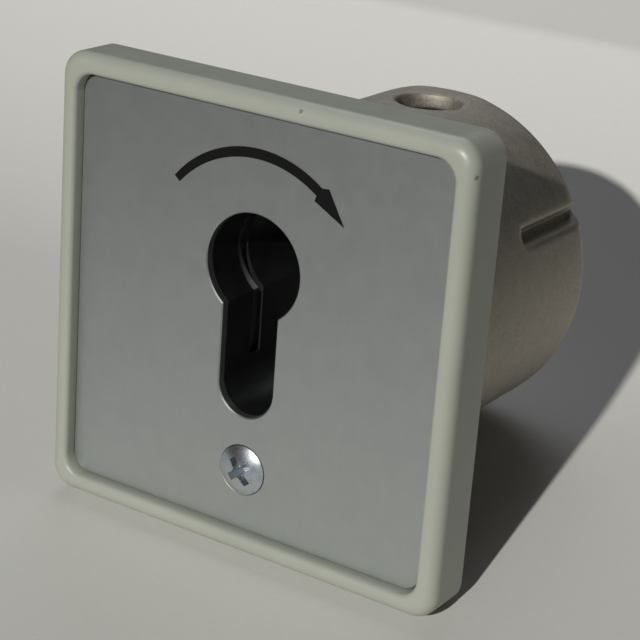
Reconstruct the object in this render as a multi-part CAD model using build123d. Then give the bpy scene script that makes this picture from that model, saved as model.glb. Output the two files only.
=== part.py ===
from build123d import *

import math
import os

# Flush key switch for a European profile half cylinder.
# Millimetres. X runs to the right of someone facing the switch, +Y into the wall, +Z up.
# Everything is drawn about the axis of the round housing, and saved about the lock axis,
# so the saved origin is the lock axis where it crosses the wall plane.

LOCK_RISE = 9.8          # lock axis above the housing axis

# European profile opening
PROFILE_R = 8.65         # round part, for a 17 mm cylinder
PROFILE_W = 5.15         # half the width of the web slot
PROFILE_H = 33.3         # overall height
CAM_R = 15.3             # sweep of the cylinder's cam
CAM_Y1 = 28.5            # rear of the space the cam turns in
FIXING_Y = 23.0          # the cylinder's fixing thread behind the wall plane
FIXING_Z = -10.0

# Front frame and plate
FRAME_SIDE = 75.0
FRAME_Y0 = -9.0          # front of the rim; the rear of the frame is the wall plane, y = 0
FRAME_R = 4.0
RIM_FILLET = 2.2
PLATE_SIDE = 68.0
PLATE_R = 3.0
PLATE_Y0, PLATE_Y1 = -7.0, -5.5
PLATE_GAP = 0.25
GASKET_Y1 = -5.0
WEB_Y1 = -2.2            # rear of the frame's web
FLANGE_SIDE = 67.2       # housing flange, in the pocket behind the web
POCKET_SIDE = 67.6
WEB_HOLE_R = 26.8
CORNER_SCREW = 28.0      # frame screws, from the centre lines

# Housing
HOUSING_R = 28.75
HOUSING_Y1 = 55.0
HOUSING_WALL = 2.25
HOUSING_ROUND = 6.0      # outer rounding at the rear
CAVITY_Y1 = 52.0
FACET_Z = 28.1           # flat on top, round the cable entry
ENTRY_R = 5.5
ENTRY_X, ENTRY_Y = 0.8, 41.4
ENTRY_BOSS_R = 7.2       # thicker wall inside, round the cable entry
ENTRY_BOSS_Z = 25.0      # foot of that boss
GROOVE_Y0 = 31.5         # side grooves run from here to the rear
GROOVE_TOP_DEG = 27.5
GROOVE_FOOT_DEG = 20.5
GROOVE_DEPTH = 3.8
PAD_R = 23.5             # thicker wall inside, behind each groove
PAD_LAP = 0.6            # how far the thicker wall runs into the outer wall
PAD_TOP_DEG = (29.8, 28.0)   # upper flank, at the wall and inside
PAD_FOOT_DEG = (19.5, 24.0)  # lower flank, at the wall and inside
BOSS_X, BOSS_Z = 22.6, -4.05
BOSS_R = 3.4
BOSS_Y1 = 16.0
TAP_M4_R = 1.7
EARTH_AT = (-21.6, -7.9)

# Insert behind the plate
COLLAR_Y1 = 1.3
CARRIER_Y1 = 4.0
DISC_R = 26.2
FLANGE_Y1 = 6.5          # rear of the black carrier's flange
TUBE_Y1 = 17.0
TUBE_WALL = 3.2
TROUGH_Y1 = 33.0
PILLARS = ((13.7, -18.6), (-13.7, -18.6), (18.2, 14.1))
PILLAR_R = 2.8
BRACKET_Y0, BRACKET_Y1 = 34.5, 36.0
BRACKET_R = 25.6
PLATE_SCREW_X, PLATE_SCREW_Z = 0.4, -23.8

# Cam lever
PIVOT_X, PIVOT_Z = -18.5, 13.5
PIN_R = 1.5
HUB_R = 2.6
RUNNING = 0.06           # radial running clearance

# Microswitch, behind the bracket
CASE_X0, CASE_X1 = -12.0, 15.8
CASE_Z0, CASE_Z1 = -5.4, 10.5
CASE_Y1, COVER_Y1 = 45.0, 46.3
CASE_WALL = 1.2
LEAF_X, LEAF_Z = 13.2, 12.2
PLUNGER_X = 4.5
SWITCH_MID_Y = 41.0
BLADE_X, BLADE_Z = -7.4, 3.6
TERMINAL_X = (-8.0, 1.9, 11.8)
TERMINAL_W = 2.7         # half the width of a tab inside the case
SWITCH_HOLES = ((-9.2, 7.6), (12.9, 8.0))


def slab(sketch, y0, y1):
    """A sketch drawn in x and z, as a solid from y0 to y1."""
    return extrude(Plane.XZ.offset(-y1) * sketch, y1 - y0)


def rod(radius, y0, y1, x=0.0, z=0.0):
    """A round bar along y."""
    return slab(Pos(x, z) * Circle(radius), y0, y1)


def block(x0, x1, y0, y1, z0, z1):
    """A box between six planes."""
    return Pos((x0 + x1) / 2, (y0 + y1) / 2, (z0 + z1) / 2) * Box(x1 - x0, y1 - y0, z1 - z0)


def square(side, radius):
    """A square sketch with rounded corners."""
    return RectangleRounded(side, side, radius)


def profile(grow=0.0):
    """The European profile outline, grown outwards by a distance."""
    foot = LOCK_RISE + PROFILE_R - PROFILE_H + PROFILE_W
    sketch = Pos(0, LOCK_RISE) * Circle(PROFILE_R + grow)
    sketch += Pos(0, (LOCK_RISE + foot) / 2) * Rectangle(2 * (PROFILE_W + grow), LOCK_RISE - foot)
    sketch += Pos(0, foot) * Circle(PROFILE_W + grow)
    return sketch


def cone_y(r0, r1, y0, y1, x, z):
    """A truncated cone along y, r0 at y0 and r1 at y1."""
    return Pos(x, (y0 + y1) / 2, z) * Rot(-90, 0, 0) * Cone(r0, r1, y1 - y0)


def cross_recess(width, depth, y0, x, z, turn):
    """The cutter for a cross recess, pressed in from y0."""
    arm = 0.28 * width
    cutter = block(-width / 2, width / 2, y0, y0 + depth * 0.75, -arm / 2, arm / 2)
    cutter += block(-arm / 2, arm / 2, y0, y0 + depth * 0.75, -width / 2, width / 2)
    cutter += cone_y(width * 0.3, width * 0.12, y0, y0 + depth, 0, 0)
    return Pos(x, 0, z) * Rot(0, turn, 0) * cutter


def countersunk_screw(shank_r, head_r, y0, y1, x, z, raised=0.0, turn=45.0):
    """A cross-recess countersunk screw entering along +y, head at y0, tip at y1."""
    head_h = head_r - shank_r
    rim = 0.25
    screw = cone_y(head_r, shank_r, y0 + rim, y0 + rim + head_h, x, z)
    screw += rod(head_r, y0, y0 + rim, x, z)
    screw += rod(shank_r, y0 + rim + head_h - 0.1, y1 - 0.5, x, z)
    screw += cone_y(shank_r, shank_r - 0.5, y1 - 0.5, y1, x, z)
    if raised:
        ball_r = (head_r ** 2 + raised ** 2) / (2 * raised)
        cap = Pos(x, y0 - raised + ball_r, z) * Sphere(ball_r)
        screw += cap & block(x - head_r, x + head_r, y0 - raised, y0, z - head_r, z + head_r)
    return screw - cross_recess(head_r * 1.15, head_h + raised, y0 - raised, x, z, turn)


def pan_screw(shank_r, head_r, head_h, y0, y1, x, z, turn=30.0):
    """A cross-recess pan head screw entering along +y, seat at y0, tip at y1."""
    head = rod(head_r, y0 - head_h, y0, x, z)
    head = fillet(head.edges().sort_by(Axis.Y)[0], head_h * 0.45)
    screw = head + rod(shank_r, y0 - 0.1, y1, x, z)
    return screw - cross_recess(head_r * 1.05, head_h * 0.8, y0 - head_h, x, z, turn)


def polar(radius, degrees):
    """A point in x and z round the housing axis."""
    angle = math.radians(degrees)
    return (radius * math.cos(angle), radius * math.sin(angle))


def groove_pad(side, grow=0.0):
    """Section of the thicker wall behind a groove, grown by a distance; side is 1 or -1."""
    spread = math.degrees(grow / PAD_R)
    outer = HOUSING_R - HOUSING_WALL + PAD_LAP
    inner = PAD_R - grow
    ends = (
        polar(outer, PAD_TOP_DEG[0] + spread),
        polar(inner, PAD_TOP_DEG[1] + spread),
        polar(inner, PAD_FOOT_DEG[1] - spread),
        polar(outer, PAD_FOOT_DEG[0] - spread),
    )
    return make_face(Polyline(*[(side * x, z) for x, z in ends], close=True))


# ---------------------------------------------------------------- front

def front_frame():
    """Painted frame: rounded rim, web with the round opening, pocket for the housing flange."""
    frame = slab(square(FRAME_SIDE, FRAME_R), FRAME_Y0, 0)
    frame = fillet(frame.faces().sort_by(Axis.Y)[0].edges(), RIM_FILLET)
    recess = slab(square(PLATE_SIDE + 2 * PLATE_GAP, PLATE_R + PLATE_GAP), FRAME_Y0, GASKET_Y1)
    frame -= recess
    inner_edge = frame.edges().filter_by_position(Axis.Y, FRAME_Y0 - 0.01, FRAME_Y0 + 0.01)
    frame = fillet([e for e in inner_edge if max(abs(e.center().X), abs(e.center().Z)) < 34.6], 0.8)
    frame -= slab(square(POCKET_SIDE, 3.0), WEB_Y1, 0)
    frame -= rod(WEB_HOLE_R, FRAME_Y0, 0)
    for x in (-CORNER_SCREW, CORNER_SCREW):
        for z in (-CORNER_SCREW, CORNER_SCREW):
            frame -= rod(1.6, FRAME_Y0, 0, x, z)
            frame -= rod(3.1, FRAME_Y0, GASKET_Y1 + 0.35, x, z)
            frame -= cone_y(3.1, 1.6, GASKET_Y1 + 0.35, GASKET_Y1 + 1.85, x, z)
    groove = square(72.4, 2.8) - square(70.0, 2.0)
    return frame - slab(groove, -1.5, 0)


def front_plate():
    """Anodised plate with the profile opening and the countersink for its screw."""
    plate = slab(square(PLATE_SIDE, PLATE_R), PLATE_Y0, PLATE_Y1)
    plate = chamfer(plate.faces().sort_by(Axis.Y)[0].edges(), 0.25)
    opening = slab(profile(), PLATE_Y0 - 1, PLATE_Y1 + 1)
    plate -= opening
    rim = plate.edges().filter_by_position(Axis.Y, PLATE_Y0 - 0.01, PLATE_Y0 + 0.01)
    plate = chamfer([e for e in rim if abs(e.center().X) < 12 and abs(e.center().Z) < 22], 0.2)
    return plate - cone_y(4.3, 2.8, PLATE_Y0, PLATE_Y1, PLATE_SCREW_X, PLATE_SCREW_Z)


def direction_arrow():
    """Printed arrow over the opening: a tapering arc and a barbed head."""
    y1, y0 = PLATE_Y0, PLATE_Y0 - 0.05
    centre = (0.0, 8.3)
    tail, neck = 140.0, 55.5
    outer, inner = 20.35, 18.75

    def at(radius, degrees):
        angle = math.radians(degrees)
        return (centre[0] + radius * math.cos(angle), centre[1] + radius * math.sin(angle))

    middle = (tail + neck) / 2
    barb_out, barb_in, tip = (12.75, 25.2), (10.35, 22.9), (15.8, 20.0)
    with BuildSketch() as arrow:
        with BuildLine():
            ThreePointArc(at(outer - 0.15, tail), at(outer, middle), at(outer, neck))
            Polyline(at(outer, neck), barb_out, tip, barb_in, at(inner, neck))
            ThreePointArc(at(inner, neck), at(inner, middle), at(inner + 0.15, tail))
            Line(at(inner + 0.15, tail), at(outer - 0.15, tail))
        make_face()
    return slab(arrow.sketch, y0, y1)


def plate_gasket():
    """Foam gasket between the plate and the frame's web."""
    return slab(square(66.5, 2.6) - Circle(28.0), PLATE_Y1, GASKET_Y1)


def wall_gasket():
    """Foam cord in the groove at the rear of the frame."""
    return slab(square(72.4, 2.8) - square(70.0, 2.0), -1.5, 0)


def profile_collar():
    """Black collar from the plate to the insert, with a lip low down that enters the carrier plate."""
    collar = slab(profile(2.2), PLATE_Y1, COLLAR_Y1)
    collar += slab(profile(5.0), -0.2, COLLAR_Y1)
    lip = slab(profile(0.9), COLLAR_Y1, CARRIER_Y1) & block(-9, 9, COLLAR_Y1, CARRIER_Y1, -17, -8)
    return collar + lip - slab(profile(), PLATE_Y1, CARRIER_Y1)


def plate_screw():
    """M4 raised countersunk screw that holds the plate to the insert."""
    x, z = PLATE_SCREW_X, PLATE_SCREW_Z
    return countersunk_screw(2.0, 4.1, PLATE_Y0 - 0.15, 5.6, x, z, raised=1.0, turn=38.0)


def frame_screws():
    """Four M3 screws under the plate, from the frame's web into the housing flange."""
    corners = [(x, z) for x in (-CORNER_SCREW, CORNER_SCREW) for z in (-CORNER_SCREW, CORNER_SCREW)]
    return [countersunk_screw(1.5, 2.9, GASKET_Y1 + 0.05, -0.1, x, z) for x, z in corners]


# ---------------------------------------------------------------- housing

def switch_housing():
    """Cast cup with a square flange, a cable entry on a top flat and a groove on each side."""
    cup = rod(HOUSING_R, WEB_Y1, HOUSING_Y1)
    cup = fillet(cup.edges().sort_by(Axis.Y)[-1], HOUSING_ROUND)
    cup -= block(-40, 40, 0, HOUSING_Y1 + 1, FACET_Z, 40)
    cup += slab(square(FLANGE_SIDE, 2.8), WEB_Y1, 0)
    cavity = rod(HOUSING_R - HOUSING_WALL, WEB_Y1, CAVITY_Y1)
    cup -= fillet(cavity.edges().sort_by(Axis.Y)[-1], 3.0)
    for side in (1, -1):
        cup += slab(groove_pad(side), GROOVE_Y0 - 1.5, CAVITY_Y1 + 0.5)
        top = polar(HOUSING_R + 1, GROOVE_TOP_DEG + 0.3)
        heel = polar(HOUSING_R - GROOVE_DEPTH, GROOVE_TOP_DEG - 1.0)
        foot = polar(HOUSING_R + 0.4, GROOVE_FOOT_DEG)
        outside = polar(HOUSING_R + 4, (GROOVE_TOP_DEG + GROOVE_FOOT_DEG) / 2)
        corners = [(side * x, z) for x, z in (top, heel, foot, outside)]
        cup -= slab(make_face(Polyline(*corners, close=True)), GROOVE_Y0, HOUSING_Y1 + 1)
    for side in (1, -1):
        boss = slab(Pos(side * BOSS_X, BOSS_Z) * Circle(BOSS_R), CARRIER_Y1, BOSS_Y1)
        rib = Pos(side * (BOSS_X + 2.5), BOSS_Z) * Rectangle(5, 4)
        boss += slab(rib, CARRIER_Y1, BOSS_Y1)
        cup += boss - rod(TAP_M4_R, 0, BOSS_Y1 - 2, side * BOSS_X, BOSS_Z)
    cup += rod(3.2, 44, CAVITY_Y1 + 0.5, *EARTH_AT) - rod(TAP_M4_R, 42, 51, *EARTH_AT)
    for x in (-CORNER_SCREW, CORNER_SCREW):
        for z in (-CORNER_SCREW, CORNER_SCREW):
            cup -= rod(1.5, WEB_Y1, 0, x, z)
    boss_h = 2.0
    boss = Pos(ENTRY_X, ENTRY_Y, ENTRY_BOSS_Z + boss_h / 2) * Cylinder(ENTRY_BOSS_R, boss_h)
    entry = Pos(ENTRY_X, ENTRY_Y, FACET_Z) * Cylinder(ENTRY_R, 12)
    return cup + boss - entry


def earth_screw():
    """M4 pan head screw on the housing's earth boss, entering along +y."""
    return pan_screw(1.7, 2.9, 2.0, 42.9, 50.5, *EARTH_AT)


def earth_washer():
    """Cup washer under the earth screw."""
    return rod(3.1, 42.9, 44, *EARTH_AT) - rod(1.75, 42, 45, *EARTH_AT)


# ---------------------------------------------------------------- insert

def carrier_plate():
    """Aluminium disc that carries the insert on the housing bosses."""
    disc = rod(DISC_R, COLLAR_Y1, CARRIER_Y1) - slab(profile(1.0), 0, 5)
    disc -= rod(2.0, 0, 5, PLATE_SCREW_X, PLATE_SCREW_Z)
    for x in (-BOSS_X, BOSS_X):
        disc -= rod(2.0, 0, 5, x, BOSS_Z)
    for x, z in PILLARS:
        disc -= rod(1.5, 0, 5, x, z)
        disc -= cone_y(2.95, 1.5, COLLAR_Y1, COLLAR_Y1 + 1.45, x, z)
    return disc


def carrier_screws():
    """Two screws from the carrier plate into the housing bosses."""
    return [pan_screw(1.7, 3.4, 2.2, COLLAR_Y1, 12, x, BOSS_Z) for x in (-BOSS_X, BOSS_X)]


def insert_screws():
    """Three screws from the carrier plate into the black carrier's pillars."""
    return [countersunk_screw(1.3, 2.6, COLLAR_Y1 + 0.05, 11, x, z) for x, z in PILLARS]


def switch_carrier():
    """Black moulding: flange, profile tube, trough for the cylinder's web, pillars, screw post."""
    body = rod(DISC_R - 0.4, CARRIER_Y1, FLANGE_Y1)
    for x in (-BOSS_X, BOSS_X):
        body -= rod(3.9, 3, 8, x, BOSS_Z)
        body -= block(min(x, x * 1.2), max(x, x * 1.2), 3, 8, BOSS_Z - 3.9, BOSS_Z + 3.9)
    body -= rod(2.4, 3, 8, PLATE_SCREW_X, PLATE_SCREW_Z)
    body += slab(profile(TUBE_WALL), CARRIER_Y1, TUBE_Y1)
    trough_top = LOCK_RISE - CAM_R - 0.7
    body += slab(profile(TUBE_WALL), TUBE_Y1, TROUGH_Y1) & block(-9, 9, 16, 34, -20, trough_top)
    body += block(PROFILE_W, 15.5, TUBE_Y1 - 1, CAM_Y1, -14.6, trough_top)
    body += rod(HUB_R, CARRIER_Y1, TUBE_Y1, PIVOT_X, PIVOT_Z)
    for x, z in PILLARS:
        body += rod(PILLAR_R, CARRIER_Y1, BRACKET_Y0, x, z)
    body -= slab(profile(), 0, TROUGH_Y1 + 1)
    body -= rod(PIN_R, 0, TUBE_Y1 + 1, PIVOT_X, PIVOT_Z)
    for x, z in PILLARS:
        body -= rod(1.3, 0, 12, x, z)
        body -= rod(1.3, 26, BRACKET_Y0, x, z)
    return body - Pos(10, FIXING_Y, FIXING_Z) * Rot(0, 90, 0) * Cylinder(2.6, 24)


def cylinder_screw():
    """M5 screw for the half cylinder, backed out of the empty slot."""
    shank = Pos(10.5, FIXING_Y, FIXING_Z) * Rot(0, 90, 0) * Cylinder(2.5, 10)
    head = Pos(17.0, FIXING_Y, FIXING_Z) * Rot(0, 90, 0) * Cylinder(4.2, 3)
    slot = block(17.4, 19, FIXING_Y - 5, FIXING_Y + 5, FIXING_Z - 0.6, FIXING_Z + 0.6)
    return shank + head - slot


def switch_bracket():
    """Zinc-plated sheet across the pillars, cut away over the cable space and round the lever."""
    sheet = rod(BRACKET_R, BRACKET_Y0, BRACKET_Y1)
    for side in (1, -1):
        sheet -= slab(groove_pad(side, 0.5), 30, 40)
    sheet -= block(-30, 30, 30, 40, 18, 30)
    sheet -= block(-14.6, -4, 30, 40, 10.8, 30)
    sheet -= block(-30, 30, 30, 40, -30, -22.4)
    for x, z in PILLARS:
        sheet -= rod(1.6, 30, 40, x, z)
    for x, z in SWITCH_HOLES:
        sheet -= rod(1.25, 30, 40, x, z)
    return sheet - rod(PIN_R, 30, 40, PIVOT_X, PIVOT_Z)


def bracket_screws():
    """Three pan head screws, from the rear, through the bracket into the pillars."""
    screw = pan_screw(1.3, 2.6, 1.8, 0, 7, 0, 0)
    return [Pos(x, BRACKET_Y1, z) * Rot(0, 0, 180) * screw for x, z in PILLARS]


# ---------------------------------------------------------------- cam lever

def lever_pin():
    """Steel pin from the black carrier's spacer to behind the bracket."""
    pin = rod(PIN_R, FLANGE_Y1, 38.4, PIVOT_X, PIVOT_Z)
    groove = rod(PIN_R, 36.9, 37.5, PIVOT_X, PIVOT_Z) - rod(1.15, 36, 38, PIVOT_X, PIVOT_Z)
    return pin - groove


def pin_clip():
    """E-shaped retaining clip in the pin's groove."""
    clip = rod(2.9, 36.9, 37.5, PIVOT_X, PIVOT_Z) - rod(1.15, 36, 38, PIVOT_X, PIVOT_Z)
    return clip - block(PIVOT_X - 1.0, PIVOT_X + 1.0, 36, 38, PIVOT_Z, PIVOT_Z + 4)


def cam_lever():
    """Moulded lever: hub, follower arm in the cam's plane, rear arm and finger over the switch."""
    hub_y0, hub_y1 = TUBE_Y1 + 0.4, BRACKET_Y0 - 0.4
    lever = rod(HUB_R, hub_y0, hub_y1, PIVOT_X, PIVOT_Z)
    arm = make_hull((Pos(PIVOT_X, PIVOT_Z) * Circle(2.2)).edges() + (Pos(-14.2, 4.0) * Circle(1.5)).edges())
    lever += slab(arm, 20.0, 26.0)
    rear = make_hull((Pos(PIVOT_X, PIVOT_Z) * Circle(2.2)).edges() + (Pos(-11.0, 15.7) * Circle(1.5)).edges())
    lever += slab(rear, 31.0, hub_y1)
    finger = Pos(-11.0, 15.7) * RectangleRounded(3.0, 3.0, 0.9)
    lever += slab(finger, 31.0, 44.0)
    return lever - rod(PIN_R + RUNNING, 10, 40, PIVOT_X, PIVOT_Z)


def lever_spring():
    """Torsion spring round the hub, one leg on the lever's arm, one on the bracket."""
    radius, wire = 3.05, 0.35
    turns, pitch = 4, 0.95
    y0 = 26.7
    path = Helix(pitch=pitch, height=turns * pitch, radius=radius)
    start = path @ 0
    ring = Plane(origin=start, z_dir=path % 0) * Circle(wire)
    coil = sweep(ring, path=path)
    return Pos(PIVOT_X, y0 + turns * pitch, PIVOT_Z) * Rot(90, 0, 0) * coil


# ---------------------------------------------------------------- microswitch

def microswitch_case():
    """Black case, open at the rear, with two fixing tubes, a blade stop and terminal slots."""
    case = block(CASE_X0, CASE_X1, BRACKET_Y1, CASE_Y1, CASE_Z0, CASE_Z1)
    case = fillet(case.edges().filter_by(Axis.Y), 1.0)
    case -= block(
        CASE_X0 + CASE_WALL, CASE_X1 - CASE_WALL, BRACKET_Y1 + 1.4, CASE_Y1,
        CASE_Z0 + 2.2, CASE_Z1 - CASE_WALL,
    )
    for x, z in SWITCH_HOLES:
        case += rod(2.3, BRACKET_Y1, CASE_Y1, x, z)
        case -= rod(1.3, BRACKET_Y1, CASE_Y1, x, z)
    case -= block(PLUNGER_X - 1.06, PLUNGER_X + 1.06, 39.44, 42.56, 8, 12)
    for x in TERMINAL_X:
        case -= block(x - TERMINAL_W, x + TERMINAL_W, 40.62, 41.38, -6, -3)
    for y0, y1 in ((37.6, 38.6), (43.4, 44.4)):
        ear = block(LEAF_X - 1.4, LEAF_X + 1.4, y0, y1, CASE_Z1 - 0.5, LEAF_Z)
        ear += rod(1.4, y0, y1, LEAF_X, LEAF_Z)
        case += ear - rod(0.5, y0 - 1, y1 + 1, LEAF_X, LEAF_Z)
    return case


def microswitch_cover():
    """Black cover that closes the case's rear."""
    cover = block(CASE_X0, CASE_X1, CASE_Y1, COVER_Y1, CASE_Z0, CASE_Z1)
    cover = fillet(cover.edges().filter_by(Axis.Y), 1.0)
    for x, z in SWITCH_HOLES:
        cover -= rod(1.3, CASE_Y1, COVER_Y1, x, z)
    return cover


def microswitch_screws():
    """Two screws from behind the microswitch into the bracket."""
    screw = pan_screw(1.2, 2.2, 1.4, 0, COVER_Y1 - BRACKET_Y0, 0, 0)
    return [Pos(x, COVER_Y1, z) * Rot(0, 0, 180) * screw for x, z in SWITCH_HOLES]


def leaf_pin():
    """Pin of the switch's spring leaf, through the two ears."""
    return rod(0.5, 37.6, 44.4, LEAF_X, LEAF_Z)


def switch_leaf():
    """Steel leaf hinged over the button, reaching under the lever's finger."""
    leaf = rod(1.0, 39.0, 43.0, LEAF_X, LEAF_Z)
    strip = Polyline(
        (LEAF_X - 0.4, LEAF_Z - 0.4), (-11.5, 13.35), (-13.4, 12.85),
        (-13.4, 13.35), (-11.5, 13.85), (LEAF_X - 0.4, LEAF_Z + 0.2), close=True,
    )
    leaf += slab(make_face(strip), 39.0, 43.0)
    return leaf - rod(0.5 + 0.04, 38, 44, LEAF_X, LEAF_Z)


def switch_plunger():
    """Red button through the top of the case, with a foot on the snap blade."""
    button = block(PLUNGER_X - 1.0, PLUNGER_X + 1.0, 39.5, 42.5, 6.0, 12.2)
    button = fillet(button.faces().sort_by(Axis.Z)[-1].edges(), 0.4)
    button += block(PLUNGER_X - 1.9, PLUNGER_X + 1.9, 39.5, 42.5, 7.0, 8.4)
    return button + block(PLUNGER_X - 0.5, PLUNGER_X + 0.5, 40.0, 42.0, BLADE_Z + 0.35, 6.2)


def snap_blade():
    """Bronze blade from the common post to between the fixed contacts."""
    blade = block(BLADE_X, 12.6, 39.6, 42.4, BLADE_Z - 0.15, BLADE_Z + 0.15)
    blade += rod(0.8, 39.6, 42.4, BLADE_X, BLADE_Z)
    tip = Pos(11.6, SWITCH_MID_Y, BLADE_Z) * Cylinder(0.9, 1.1)
    return blade + tip - rod(0.44, 39, 43, BLADE_X, BLADE_Z)


def terminal(x, inner):
    """A screw terminal tab through the bottom of the case, joined to its inner part."""
    tab = block(x - 2.95, x + 2.95, 40.62, 41.38, -14.0, CASE_Z0)
    tab += block(x - TERMINAL_W, x + TERMINAL_W, 40.62, 41.38, CASE_Z0, -2.6)
    return tab - rod(1.5, 40, 42, x, -10.4) + inner


def common_terminal():
    """Common tab with the post and pin that the snap blade turns on."""
    post = block(BLADE_X - 0.4, BLADE_X + 0.4, 42.55, 43.2, -2.8, BLADE_Z + 0.8)
    post += block(BLADE_X - 0.4, BLADE_X + 0.4, 41.3, 43.2, -2.8, -2.0)
    pin = rod(0.4, 39.4, 43.2, BLADE_X, BLADE_Z)
    return terminal(TERMINAL_X[0], post + pin)


def open_terminal():
    """Normally open tab, with its contact below the blade's tip."""
    arm = block(0.0, 12.3, 40.62, 41.38, -1.9, -1.1) + block(0.0, 3.8, 40.62, 41.38, -2.7, -1.1)
    riser = block(10.9, 12.3, 40.3, 41.7, -1.9, 1.5)
    contact = Pos(11.6, SWITCH_MID_Y, 1.7) * Cylinder(1.0, 0.6)
    return terminal(TERMINAL_X[1], arm + riser + contact)


def closed_terminal():
    """Normally closed tab, with its contact above the blade's tip."""
    column = block(13.6, 14.4, 40.62, 41.38, -2.7, 5.6)
    arm = block(10.9, 14.4, 40.62, 41.38, 4.9, 5.6)
    contact = Pos(11.6, SWITCH_MID_Y, 4.6) * Cylinder(1.0, 0.7)
    return terminal(TERMINAL_X[2], column + arm + contact)


def terminal_screws():
    """Three clamp screws on the terminal tabs, entering along -y."""
    screw = pan_screw(1.5, 2.7, 1.8, 0, 4.4, 0, 0)
    return [Pos(x, 42.4, -10.4) * Rot(0, 0, 180) * screw for x in TERMINAL_X]


def wire_clamps():
    """Three square clamp washers between the screw heads and the tabs."""
    clamp = block(-2.9, 2.9, 41.4, 42.4, -2.9, 2.9) - rod(1.55, 41, 43)
    return [Pos(x, 0, -10.4) * clamp for x in TERMINAL_X]


NODES = (
    front_frame, front_plate, direction_arrow, plate_gasket, wall_gasket, profile_collar,
    plate_screw, frame_screws, switch_housing, earth_screw, earth_washer, carrier_plate,
    carrier_screws, insert_screws, switch_carrier, cylinder_screw, switch_bracket,
    bracket_screws, lever_pin, pin_clip, cam_lever, lever_spring, microswitch_case,
    microswitch_cover, microswitch_screws, leaf_pin, switch_leaf, switch_plunger, snap_blade,
    common_terminal, open_terminal, closed_terminal, terminal_screws, wire_clamps,
)

os.makedirs("parts", exist_ok=True)
for build in NODES:
    shape = build()
    solids = shape if isinstance(shape, list) else [shape]
    group = Compound(children=[solid for piece in solids for solid in piece.solids()])
    export_step(group.moved(Location((0, 0, -LOCK_RISE))), f"parts/{build.__name__}.step")
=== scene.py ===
"""Looks of a flush key switch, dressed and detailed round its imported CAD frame.

The switch is a square painted die casting with an anodised plate in front, a cast
aluminium can behind it, and a plastic insert with a lever and a microswitch inside.
Everything is in metres, with the lock axis along Y and the wall plane at y = 0.
"""
import logging
import math
from dataclasses import dataclass, field
from enum import Enum

import bmesh
import bpy
from mathutils import Matrix, Vector

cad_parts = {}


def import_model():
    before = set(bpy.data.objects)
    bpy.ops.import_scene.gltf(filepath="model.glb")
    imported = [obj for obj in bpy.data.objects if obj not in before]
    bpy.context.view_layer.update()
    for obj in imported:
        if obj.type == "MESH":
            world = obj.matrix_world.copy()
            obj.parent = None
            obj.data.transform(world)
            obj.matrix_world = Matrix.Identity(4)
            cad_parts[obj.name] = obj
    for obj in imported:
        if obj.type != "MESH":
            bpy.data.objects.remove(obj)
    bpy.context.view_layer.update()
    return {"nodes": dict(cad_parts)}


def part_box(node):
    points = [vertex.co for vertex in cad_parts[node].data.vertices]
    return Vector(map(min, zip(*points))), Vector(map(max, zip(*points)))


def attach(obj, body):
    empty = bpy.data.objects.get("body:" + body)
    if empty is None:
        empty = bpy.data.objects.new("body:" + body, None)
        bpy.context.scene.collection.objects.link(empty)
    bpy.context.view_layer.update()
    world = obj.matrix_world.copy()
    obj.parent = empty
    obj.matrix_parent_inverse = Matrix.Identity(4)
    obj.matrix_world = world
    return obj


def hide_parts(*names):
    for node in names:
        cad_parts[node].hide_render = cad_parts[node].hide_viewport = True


LOG = logging.getLogger("key_switch")
MM = 0.001


class Body(Enum):
    """The moving bodies of the switch."""

    STATIC = "switch_body"
    LEVER = "lever"
    LEAF = "leaf"
    PLUNGER = "plunger"
    BLADE = "blade"


class Slot(Enum):
    """The finishes that the record names."""

    PAINT = "painted_frame"
    PLATE = "anodised_plate"
    PRINT = "print_black"
    FOAM = "foam_seal"
    BLACK = "black_moulding"
    ZINC = "zinc_screw"
    CAST = "cast_housing"
    MILLED = "machined_plate"
    SHEET = "zinc_sheet"
    PIN = "steel_pin"
    ACETAL = "lever_moulding"
    RED = "red_button"
    BRASS = "brass_part"


class Head(Enum):
    """The kinds of screw head."""

    PAN = "pan"
    FLAT = "flat countersunk"
    RAISED = "raised countersunk"


# ---------------------------------------------------------------- small helpers


def linear(code: str) -> tuple[float, float, float, float]:
    """Turns an sRGB hex colour into linear RGBA.

    Args:
        code: Six hex digits, with or without a hash sign.

    Returns:
        Linear red, green, blue and an alpha of 1.
    """
    text = code.lstrip("#")
    values = [int(text[k:k + 2], 16) / 255 for k in (0, 2, 4)]
    rgb = [v / 12.92 if v <= 0.04045 else ((v + 0.055) / 1.055) ** 2.4 for v in values]
    return rgb[0], rgb[1], rgb[2], 1.0


def add_node(tree: bpy.types.NodeTree, kind: str, inputs: dict | None = None,
             **settings: object) -> bpy.types.Node:
    """Adds one node, sets its properties, and fills or links its inputs.

    Args:
        tree: The node tree that gets the node.
        kind: The node's type name.
        inputs: Values or output sockets, by input name or number.
        settings: Properties of the node itself.

    Returns:
        The new node.
    """
    node = tree.nodes.new(kind)
    for name, value in settings.items():
        setattr(node, name, value)
    for key, value in (inputs or {}).items():
        if isinstance(value, bpy.types.NodeSocket):
            tree.links.new(value, node.inputs[key])
        else:
            node.inputs[key].default_value = value
    return node


def per_mm(size: float) -> float:
    """Texture scale, per metre, of a pattern whose cells are this many millimetres."""
    return 1.0 / (size * MM)


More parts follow.
